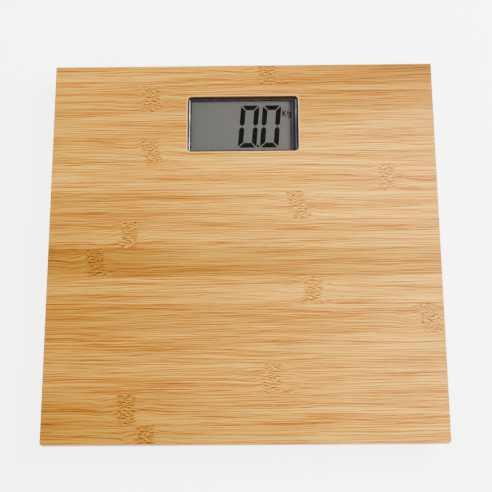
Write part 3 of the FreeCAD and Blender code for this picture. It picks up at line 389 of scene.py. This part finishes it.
def moulded(name, base, roughness=0.5, grain=0.35, depth=0.02):
    """Injection-moulded plastic: spark-eroded grain, faint flow marks and dull scuffs."""
    s = Shader(name, roughness=roughness, base=base)
    spark = s.noise(s.place, scale=1 / grain, detail=2.0)
    flow = s.noise(s.scaled(0.03, 0.05, 0.05), detail=3.0)
    scuff = s.noise(s.scaled(0.5, 0.06, 0.3), detail=3.0, rough=0.7)
    low = linear(*[value * 0.86 for value in base])
    high = linear(*[min(255, value * 1.12 + 3) for value in base])
    s.set("Base Color", s.mix(s.between(flow, 0.3, 0.7), low, high))
    s.set("Roughness", s.between(scuff, 0.45, 0.75, roughness - 0.06, roughness + 0.12))
    s.bump(spark, depth, 0.6)
    return s.material


def gloss_black():
    """Polished black bezel: mirror gloss with fine dust."""
    s = Shader("bezel_gloss", roughness=0.12, base=(16, 15, 18), coat_weight=0.5, coat_roughness=0.05)
    dust = s.cells(s.place, scale=1.4)
    s.set("Base Color", s.mix(s.between(dust, 0.10, 0.04), linear(14, 13, 17), linear(70, 68, 66)))
    s.set("Roughness", s.between(s.noise(s.place, scale=0.3, detail=3.0), 0.3, 0.7, 0.10, 0.22))
    return s.material


def liquid_crystal(name):
    """Unlit display: grey-green to the left, painted shade in purple-grey at the right edge, with a satin
    sparkle.
    """
    s = Shader(name, roughness=0.55, base=(88, 88, 84), specular_ior_level=0.3)
    drift = s.noise(s.scaled(0.03, 0.03, 0.0), detail=1.5)
    hue = s.noise(s.scaled(0.10, 0.015, 0.0), detail=1.0)
    grain = s.noise(s.place, scale=6.0, detail=2.0)
    side = s.math("ADD", s.between(s.x, -70.0, 20.0), s.math("MULTIPLY", s.math("SUBTRACT", drift, 0.5), 0.6))
    colour = s.mix(s.between(side, 0.0, 1.0), linear(74, 79, 72), linear(81, 79, 75))
    colour = s.mix(s.math("MULTIPLY", s.between(hue, 0.45, 0.7), 0.4), colour, linear(83, 78, 77))
    colour = s.mix(s.math("MULTIPLY", grain, 0.10), colour, linear(116, 116, 110))
    # Painted shade: purple-grey along the right edge of the view, where the frame's ledge is in shade.
    colour = s.mix(s.math("MULTIPLY", s.between(s.x, 36.8, 39.2), 0.8), colour, linear(50, 45, 62))
    s.set("Base Color", colour)
    s.bump(grain, 0.01, 0.4)
    return s.material


def ink():
    """Switched-on liquid crystal: near black, a little green."""
    s = Shader("lcd_ink", roughness=0.7, base=(7, 9, 8), specular_ior_level=0.05)
    s.set("Base Color", s.mix(s.noise(s.place, scale=0.4), linear(2, 3, 3), linear(5, 7, 6)))
    return s.material


def bevel(name, low, high, roughness=0.3):
    """Bevelled edge of the display's frame, its colour stronger and weaker along its length; on the side
    bevels that colour is a painted reflection.
    """
    s = Shader(name, roughness=roughness, base=low, metallic=0.25)
    drift = s.noise(s.scaled(0.3, 0.06, 0.0), detail=2.0)
    s.set("Base Color", s.mix(s.between(drift, 0.35, 0.65), linear(*low), linear(*high)))
    return s.material


def border():
    """Dark print round the view: navy at the sides, with painted shade in red-brown along the far and near
    edges.
    """
    s = Shader("lens_border_print_and_painted_shade", roughness=0.5, base=(14, 12, 20), specular_ior_level=0.12)
    far = s.between(s.y, 121.6, 122.4)
    near = s.between(s.y, 78.6, 77.6)
    # Painted shade: red-brown along the far and near edges, where the window's cut faces are in shade.
    brown = s.math("MAXIMUM", far, near)
    speck = s.noise(s.place, scale=1.5, detail=2.0)
    plain = s.mix(speck, linear(8, 7, 13), linear(18, 16, 25))
    s.set("Base Color", s.mix(s.math("MULTIPLY", brown, 0.8), plain, linear(44, 18, 12)))
    return s.material


def rubber(name, base, roughness=0.75):
    """Moulded rubber with a dusty bloom."""
    s = Shader(name, roughness=roughness, base=base, specular_ior_level=0.35)
    bloom = s.noise(s.place, scale=0.12, detail=5.0, rough=0.65)
    pale = linear(*[value + 26 for value in base])
    s.set("Base Color", s.mix(s.between(bloom, 0.45, 0.8, 0.0, 0.7), linear(*base), pale))
    s.bump(s.noise(s.place, scale=3.5, detail=3.0), 0.03, 0.6)
    return s.material


def zebra():
    """Striped strip: carbon layers between white silicone."""
    s = Shader("zebra_stripes", roughness=0.6, base=(90, 90, 92))
    wave = s.math("SINE", s.math("MULTIPLY", s.x, 2 * math.pi / 0.5))
    s.set("Base Color", s.mix(s.between(wave, -0.2, 0.2), linear(28, 28, 30), linear(196, 190, 178)))
    return s.material


def steel(name, base, roughness, metallic=1.0, brush=(0.05, 4.0, 4.0), spots=0.25):
    """Bare or plated steel: brushed one way, with faint stains."""
    s = Shader(name, roughness=roughness, base=base, metallic=metallic)
    lines = s.noise(s.scaled(*brush), detail=3.0)
    stain = s.noise(s.place, scale=0.10, detail=4.0)
    dark = linear(*[value * 0.80 for value in base])
    s.set("Base Color", s.mix(s.math("MULTIPLY", s.between(stain, 0.4, 0.8), spots), linear(*base), dark))
    s.set("Roughness", s.between(lines, 0.3, 0.7, roughness - 0.08, roughness + 0.14))
    s.bump(lines, 0.008, 0.5)
    return s.material


def circuit():
    """Green solder mask with copper tracks under it."""
    s = Shader("circuit_mask", roughness=0.32, base=(20, 92, 48), coat_weight=0.3, coat_roughness=0.15)
    grid = s.cells(s.scaled(0.36, 0.9, 0.0), feature="DISTANCE_TO_EDGE")
    track = s.between(grid, 0.10, 0.05)
    weave = s.noise(s.place, scale=2.2, detail=2.0)
    mask = s.mix(weave, linear(14, 70, 38), linear(22, 88, 48))
    s.set("Base Color", s.mix(s.math("MULTIPLY", track, 0.8), mask, linear(46, 132, 70)))
    s.bump(track, 0.03, 0.6)
    return s.material


def tinned():
    """Small parts of ceramic and tin: patches of tone by place over one tan colour, a little metallic."""
    s = Shader("component_mix", roughness=0.4, base=(120, 108, 92), metallic=0.2)
    body = s.cells(s.scaled(0.24, 0.18, 0.0), output="Color")
    s.set("Base Color", s.mix(0.75, body, linear(134, 118, 96)))
    s.set("Roughness", s.between(s.noise(s.place, scale=1.0), 0.3, 0.7, 0.3, 0.5))
    return s.material


def jacket(name, plus_side):
    """Plain cell jacket: grey-green with a pale band at the plus end, bare steel at both ends."""
    s = Shader(name, roughness=0.3, base=(70, 104, 94), metallic=0.3, coat_weight=0.4, coat_roughness=0.1)
    along = s.math("MULTIPLY", s.x, plus_side)
    print_noise = s.noise(s.scaled(0.4, 0.4, 0.4), detail=2.0)
    body = s.mix(print_noise, linear(62, 96, 86), linear(78, 112, 102))
    band = s.mix(print_noise, linear(204, 204, 198), linear(220, 220, 214))
    bare = linear(196, 196, 194)
    colour = s.mix(s.between(along, 16.9, 17.1), body, band)
    colour = s.mix(s.between(along, 20.6, 20.8), colour, bare)
    s.set("Base Color", s.mix(s.between(along, -21.6, -21.8), colour, bare))
    s.bump(print_noise, 0.01, 0.3)
    return s.material


def wire(name, base):
    """PVC wire cover with a slight drag texture along it."""
    s = Shader(name, roughness=0.42, base=base)
    drag = s.noise(s.place, scale=1.1, detail=3.0)
    s.set("Base Color", s.mix(s.between(drag, 0.3, 0.7), linear(*[v * 0.8 for v in base]), linear(*base)))
    s.bump(drag, 0.02, 0.5)
    return s.material


def paper():
    """Creped paper tape."""
    s = Shader("creped_tape", roughness=0.85, base=(206, 184, 132))
    crepe = s.noise(s.scaled(0.5, 2.4, 1.0), detail=3.0, bend=0.6)
    s.set("Base Color", s.mix(crepe, linear(186, 160, 106), linear(222, 202, 152)))
    s.bump(crepe, 0.08, 0.8)
    return s.material


def sealant():
    """Soft white sealant, slightly wet."""
    s = Shader("sealant_white", roughness=0.35, base=(232, 231, 226), subsurface_weight=0.1)
    lumps = s.noise(s.place, scale=0.6, detail=3.0)
    s.set("Base Color", s.mix(lumps, linear(222, 220, 212), linear(240, 240, 236)))
    s.bump(lumps, 0.15, 0.6)
    return s.material


def paint_nodes():
    """Give every CAD node its finish."""
    black = moulded("abs_black", (30, 30, 32), 0.48)
    mount_black = moulded("foot_mount_black", (26, 26, 28), 0.52)
    shell_black = moulded("foot_shell_black", (34, 34, 36), 0.45)
    glass = clear("lcd_glass_clear", 0.04)
    contact = steel("nickel_bright", (206, 204, 198), 0.20)
    stamped = steel("load_cell_steel", (168, 170, 172), 0.34)
    zinc = steel("screw_zinc", (178, 178, 172), 0.32, brush=(3.0, 3.0, 0.4))
    pad_rubber = rubber("pad_rubber", (38, 38, 39))
    leads = {colour: wire("wire_" + colour, base) for colour, base in
             (("red", (176, 26, 24)), ("white", (226, 224, 218)), ("black", (30, 30, 32)))}
    finish = {
        "bamboo_platform": bamboo(),
        "display_lens": clear("lens_clear", 0.05),
        "lens_tape": rubber("lens_tape_foam", (22, 22, 24)),
        "display_bezel": gloss_black(),
        "lcd_front_film": liquid_crystal("lcd_front_polariser"),
        "lcd_front_glass": glass,
        "lcd_rear_glass": glass,
        "lcd_reflector": liquid_crystal("lcd_reflector_film"),
        "lcd_holder": moulded("abs_white", (222, 222, 216), 0.45),
        "zebra_strip": zebra(),
        "circuit_board": circuit(),
        "chip_potting": moulded("potting_black", (16, 16, 17), 0.22, 1.2, 0.05),
        "circuit_components": tinned(),
        "unit_switch": black,
        "unit_switch_plunger": moulded("plunger_white", (220, 218, 210), 0.4),
        "unit_button": moulded("button_grey", (96, 97, 100), 0.42),
        "electronics_tray": black,
        "battery_door": moulded("door_black", (33, 33, 35), 0.46),
        "battery_front": jacket("cell_jacket_front", 1.0),
        "battery_rear": jacket("cell_jacket_rear", -1.0),
        "battery_link_contact": contact,
        "battery_plus_contact": contact,
        "battery_minus_contact": contact,
        "battery_springs": contact,
        "gauge_sealant": sealant(),
        "foot_screws": zinc,
        "tray_screws": zinc,
        "circuit_screws": zinc,
        "groove_tape": paper(),
        "battery_lead_red": leads["red"],
        "battery_lead_black": leads["black"],
    }
    for colour, material in leads.items():
        finish["sensor_leads_" + colour] = material
    for corner in CORNERS:
        finish["foot_mount_" + corner] = mount_black
        finish["foot_shell_" + corner] = shell_black
        finish["foot_pad_" + corner] = pad_rubber
        finish["load_cell_" + corner] = stamped
    for name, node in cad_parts.items():
        for slot in node.material_slots:
            slot.material = finish[name]


# ---------------------------------------------------------------- display

# Digits, in millimetres: their size, how far the top leans, the segments' width and the gaps between them.
DIGIT_HEIGHT = 35.6
DIGIT_WIDTH = 14.6
DIGIT_LEAN = 2.75
STROKE = 3.9
GAP = 0.55
INK_THICK = 0.02
INK_BASE = 81.5
DIGIT_LEFTS = (-4.6, 12.75)
POINT_PLACE = (11.3, 82.7)
POINT_RADIUS = 1.0
# Centre lines of the unit's letters: the upright and the arms of one, and the tail of the other, whose
# bowl is a ring.
UNIT_STROKES = (
    ((31.25, 107.6), (31.25, 112.9)),
    ((34.0, 112.9), (31.75, 110.3), (34.1, 107.6)),
    ((37.15, 111.6), (37.15, 108.0), (36.8, 107.1), (36.0, 106.7), (35.0, 106.9)),
)
UNIT_STROKE = 0.85
BOWL_MIDDLE = (36.05, 110.2)
BOWL_RADIUS = 1.15
# Edges of the clear view: left, near, right, far.
VIEW = (-41.0, 78.4, 38.6, 121.0)
VIEW_CORNER = 1.0
RIM_INSET = 0.05
RIM_CORNER = 2.5
LIP_WIDTH = 0.22
PRINT_LIFT = 0.01
PRINT_THICK = 0.02
BEVEL_RISE = 0.3
BEVEL_FALL = 0.8
BEVEL_CORNER = 0.3
BEVEL_OVERHANG = 0.2
# The frame's bevels, bright with painted reflections: left and right sides, and the screen colours that each
# shifts between.
BEVELS = {
    "bevel_left": (-42.9, -42.3, "bevel_painted_glint_silver", (92, 94, 108), (188, 190, 206)),
    "bevel_right": (40.9, 42.1, "bevel_painted_glint_steel_blue", (60, 70, 90), (122, 132, 156)),
}


def add_mesh(name, work, material, body):
    """Turn a bmesh into a piece that rides on a body and takes its finish from a slot."""
    bmesh.ops.recalc_face_normals(work, faces=work.faces)
    mesh = bpy.data.meshes.new(name)
    work.to_mesh(mesh)
    work.free()
    piece = bpy.data.objects.new(name, mesh)
    bpy.context.collection.objects.link(piece)
    piece.data.materials.append(material)
    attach(piece, body)
    return piece


def add_prism(work, outline, low, high):
    """A closed prism over an outline of (x, y), between two levels, all in millimetres."""
    rings = [[work.verts.new((x * MM, y * MM, level * MM)) for x, y in outline] for level in (low, high)]
    work.faces.new(rings[0])
    work.faces.new(rings[1])
    count = len(outline)
    for i in range(count):
        after = (i + 1) % count
        work.faces.new((rings[0][i], rings[0][after], rings[1][after], rings[1][i]))


def segment_outlines():
    """The six lit segments of an upright zero, its lower left corner at the origin."""
    half = DIGIT_HEIGHT / 2
    tip = STROKE / 2
    side = [
        (0.25, GAP + 0.5),
        (STROKE, STROKE + GAP),
        (STROKE, half - tip - GAP / 2),
        (tip, half - GAP / 2),
        (0, half - tip - GAP / 2),
        (0, GAP + 1.2),
    ]
    bar = [
        (GAP + 0.5, 0),
        (DIGIT_WIDTH - GAP - 0.5, 0),
        (DIGIT_WIDTH - STROKE - GAP, STROKE),
        (STROKE + GAP, STROKE),
    ]
    outlines = []
    for flip in (False, True):
        for shape in (bar, side, [(DIGIT_WIDTH - x, y) for x, y in side]):
            outlines.append([(x, DIGIT_HEIGHT - y if flip else y) for x, y in shape])
    return outlines


def make_ink():
    """The lit digits, the point and the unit, on the front of the display."""
    material = ink()
    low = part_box("lcd_front_film")[1][2] / MM + PRINT_LIFT
    high = low + INK_THICK
    for name, left in zip(("digit_tens", "digit_ones"), DIGIT_LEFTS):
        work = bmesh.new()
        for outline in segment_outlines():
            leaned = [(left + x + DIGIT_LEAN * y / DIGIT_HEIGHT, INK_BASE + y) for x, y in outline]
            add_prism(work, leaned, low, high)
        add_mesh(name, work, material, "platform")
    work = bmesh.new()
    add_prism(work, circle(POINT_PLACE, POINT_RADIUS), low, high)
    add_mesh("decimal_point", work, material, "platform")
    make_unit(material, low, high)


def stroke_outline(points, width):
    """Outline of a line of even width along some points."""
    lefts = []
    rights = []
    for i, point in enumerate(points):
        arrive = (point - points[max(i - 1, 0)]).normalized()
        leave = (points[min(i + 1, len(points) - 1)] - point).normalized()
        along = (arrive + leave).normalized()
        reach = width / 2 / max(along.dot(arrive if i else leave), 0.5)
        across = Vector((-along.y, along.x)) * reach
        lefts.append(point + across)
        rights.append(point - across)
    return lefts + rights[::-1]


def circle(middle, radius, sides=24):
    """Points of a circle, anticlockwise."""
    turns = [2 * math.pi * i / sides for i in range(sides)]
    return [(middle[0] + radius * math.cos(turn), middle[1] + radius * math.sin(turn)) for turn in turns]


def make_unit(material, low, high):
    """The unit beside the digits: two plain letters made of even strokes."""
    work = bmesh.new()
    for stroke in UNIT_STROKES:
        add_prism(work, stroke_outline([Vector(point) for point in stroke], UNIT_STROKE), low, high)
    outer, inner = [circle(BOWL_MIDDLE, BOWL_RADIUS + side * UNIT_STROKE / 2) for side in (1, -1)]
    add_ring(work, outer, inner, low, high)
    add_mesh("unit_letters", work, material, "platform")


def round_box(left, near, right, far, corner, steps=6):
    """Points of a rectangle with round corners, anticlockwise."""
    points = []
    for x, y, start in ((right - corner, near + corner, -90), (right - corner, far - corner, 0),
                        (left + corner, far - corner, 90), (left + corner, near + corner, 180)):
        for step in range(steps + 1):
            turn = math.radians(start + 90 * step / steps)
            points.append((x + corner * math.cos(turn), y + corner * math.sin(turn)))
    return points


def add_ring(work, outer, inner, low, high):
    """A flat frame between two outlines with the same number of points."""
    loops = [[work.verts.new((x * MM, y * MM, level * MM)) for x, y in outline]
             for level in (low, high) for outline in (outer, inner)]
    outer_low, inner_low, outer_high, inner_high = loops
    count = len(outer)
    for i in range(count):
        after = (i + 1) % count
        for first, second in ((outer_low, inner_low), (outer_high, inner_high),
                              (outer_low, outer_high), (inner_low, inner_high)):
            work.faces.new((first[i], first[after], second[after], second[i]))


def make_border():
    """Print under the lens round the view, with painted shade along its far and near edges, the frame's thin
    lip, and its two bright bevels, whose brightness is a painted reflection.
    """
    low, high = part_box("display_lens")
    level = low[2] / MM + PRINT_LIFT
    left, near, right, far = VIEW
    view = round_box(*VIEW, VIEW_CORNER)
    rim = round_box(low[0] / MM + RIM_INSET, low[1] / MM + RIM_INSET,
                    high[0] / MM - RIM_INSET, high[1] / MM - RIM_INSET, RIM_CORNER)
    work = bmesh.new()
    add_ring(work, rim, view, level, level + PRINT_THICK)
    add_mesh("lens_border", work, border(), "platform")

    lip = round_box(left - LIP_WIDTH, near - LIP_WIDTH, right + LIP_WIDTH, far + LIP_WIDTH,
                    VIEW_CORNER + LIP_WIDTH)
    work = bmesh.new()
    add_ring(work, lip, view, level + 2 * PRINT_THICK, level + 3 * PRINT_THICK)
    grey = bevel("lip_grey", (58, 56, 66), (92, 92, 104), 0.45)
    add_mesh("view_lip", work, grey, "platform")

    base = level + 2 * PRINT_THICK
    for name, (x_low, x_high, finish, dark, bright) in BEVELS.items():
        # Each bevel's colour is a painted reflection, stronger and weaker along its length.
        material = bevel(finish, dark, bright)
        work = bmesh.new()
        outline = round_box(x_low, near - BEVEL_OVERHANG, x_high, far + BEVEL_OVERHANG, BEVEL_CORNER)
        add_prism(work, outline, base, level + BEVEL_RISE)
        for vert in work.verts:
            if vert.co.z > (base + PRINT_THICK) * MM:
                outward = (vert.co.x / MM - x_low) / (x_high - x_low)
                drop = 1 - outward if name == "bevel_right" else outward
                vert.co.z -= BEVEL_FALL * drop * (BEVEL_RISE - 2 * PRINT_THICK) * MM
        add_mesh(name, work, material, "platform")


# ---------------------------------------------------------------- battery springs

# Springs, in millimetres: wire radius, turns, and the radius of the coil at its root and at its tip.
SPRING_WIRE = 0.3
SPRING_TURNS = 3.5
SPRING_ROOT = 3.4
SPRING_TIP = 2.2
SPRING_STEPS = 20
WIRE_SIDES = 8
# The first half turn lies flat against the contact.
FLAT_SHARE = 1 / SPRING_TURNS / 2


def make_springs():
    """Conical coils with a flat start, in place of the plain ones."""
    low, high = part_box("battery_springs")
    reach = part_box("battery_rear")[1][0] / MM
    rear_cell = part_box("battery_rear")
    middle = (rear_cell[0][2] + rear_cell[1][2]) / 2 / MM
    rows = []
    for name in ("battery_front", "battery_rear"):
        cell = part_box(name)
        rows.append((cell[0][1] + cell[1][1]) / 2 / MM)
    for name, side, row in (("spring_link", -1, rows[0]), ("spring_minus", 1, rows[1])):
        root = (low[0] if side < 0 else high[0]) / MM - side * SPRING_WIRE
        tip = side * (reach + SPRING_WIRE + 0.05)
        work = bmesh.new()
        count = round(SPRING_TURNS * SPRING_STEPS)
        previous = None
        for step in range(count + 1):
            share = step / count
            rise = max(0.0, share - FLAT_SHARE) / (1 - FLAT_SHARE)
            turn = 2 * math.pi * step / SPRING_STEPS
            radius = SPRING_ROOT + (SPRING_TIP - SPRING_ROOT) * share
            along = root + (tip - root) * rise
            ring = []
            for i in range(WIRE_SIDES):
                bend = 2 * math.pi * i / WIRE_SIDES
                out = radius + SPRING_WIRE * math.cos(bend)
                x = along + SPRING_WIRE * math.sin(bend)
                point = Vector((x, row + out * math.cos(turn), middle + out * math.sin(turn)))
                ring.append(work.verts.new(point * MM))
            if previous:
                for i in range(WIRE_SIDES):
                    after = (i + 1) % WIRE_SIDES
                    work.faces.new((previous[i], previous[after], ring[after], ring[i]))
            if step in (0, count):
                work.faces.new(ring)
            previous = ring
        wire_steel = steel("spring_wire_" + name, (212, 210, 204), 0.18)
        piece = add_mesh(name, work, wire_steel, "platform")
        for polygon in piece.data.polygons:
            polygon.use_smooth = True
        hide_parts("battery_springs")


# ---------------------------------------------------------------- stage

# How strongly the white floor shines on the scale, and how strongly it shows, as an overlit backdrop does.
FLOOR_GLOW = 1.5
FLOOR_SEEN = 4.5
# The floor lies a hair below the pads, in metres, so that the two don't coincide.
FLOOR_DROP = -0.0001


def make_stage():
    """White floor, a pale sky and soft boxes."""
    mesh = bpy.data.meshes.new("floor")
    work = bmesh.new()
    bmesh.ops.create_grid(work, x_segments=1, y_segments=1, size=6)
    work.to_mesh(mesh)
    work.free()
    floor = bpy.data.objects.new("floor", mesh)
    bpy.context.collection.objects.link(floor)
    paper_white = Shader("floor_white", roughness=0.9, base=(248, 248, 248), specular_ior_level=0.1,
                         emission_color=(1.0, 1.0, 1.0, 1.0))
    seen = paper_white.node("ShaderNodeLightPath").outputs["Is Camera Ray"]
    paper_white.set("Emission Strength", paper_white.between(seen, 0.0, 1.0, FLOOR_GLOW, FLOOR_SEEN))
    floor.data.materials.append(paper_white.material)
    floor.location.z = FLOOR_DROP

    world = bpy.data.worlds.new("studio")
    bpy.context.scene.world = world
    world.use_nodes = True
    sky = world.node_tree.nodes["Background"]
    sky.inputs["Color"].default_value = (1.0, 1.0, 1.0, 1.0)
    sky.inputs["Strength"].default_value = 0.8

    for name, place, size, power, colour in (
        ("key_softbox", (0.72, 0.30, 0.80), 0.6, 27, (1.0, 0.98, 0.95)),
        ("fill_softbox", (-1.6, -1.2, 1.6), 1.2, 18, (1.0, 0.98, 0.96)),
    ):
        light = bpy.data.lights.new(name, "AREA")
        light.size = size
        light.energy = power
        light.color = colour
        lamp = bpy.data.objects.new(name, light)
        lamp.location = place
        lamp.rotation_euler = (-Vector(place)).to_track_quat("-Z", "Y").to_euler()
        bpy.context.collection.objects.link(lamp)


def make_camera():
    """Camera above the near edge, looking almost straight down at the platform."""
    camera = bpy.data.cameras.new("camera")
    camera.lens = 81.3
    camera.sensor_width = 36
    view = bpy.data.objects.new("camera", camera)
    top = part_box("bamboo_platform")[1][2]
    view.location = (0.0116, -0.2326, top + 0.8157)
    view.rotation_euler = Euler([math.radians(angle) for angle in (15.878, 0.792, -0.287)])
    bpy.context.collection.objects.link(view)
    bpy.context.scene.camera = view


paint_nodes()
make_ink()
make_border()
make_springs()
make_stage()
make_camera()
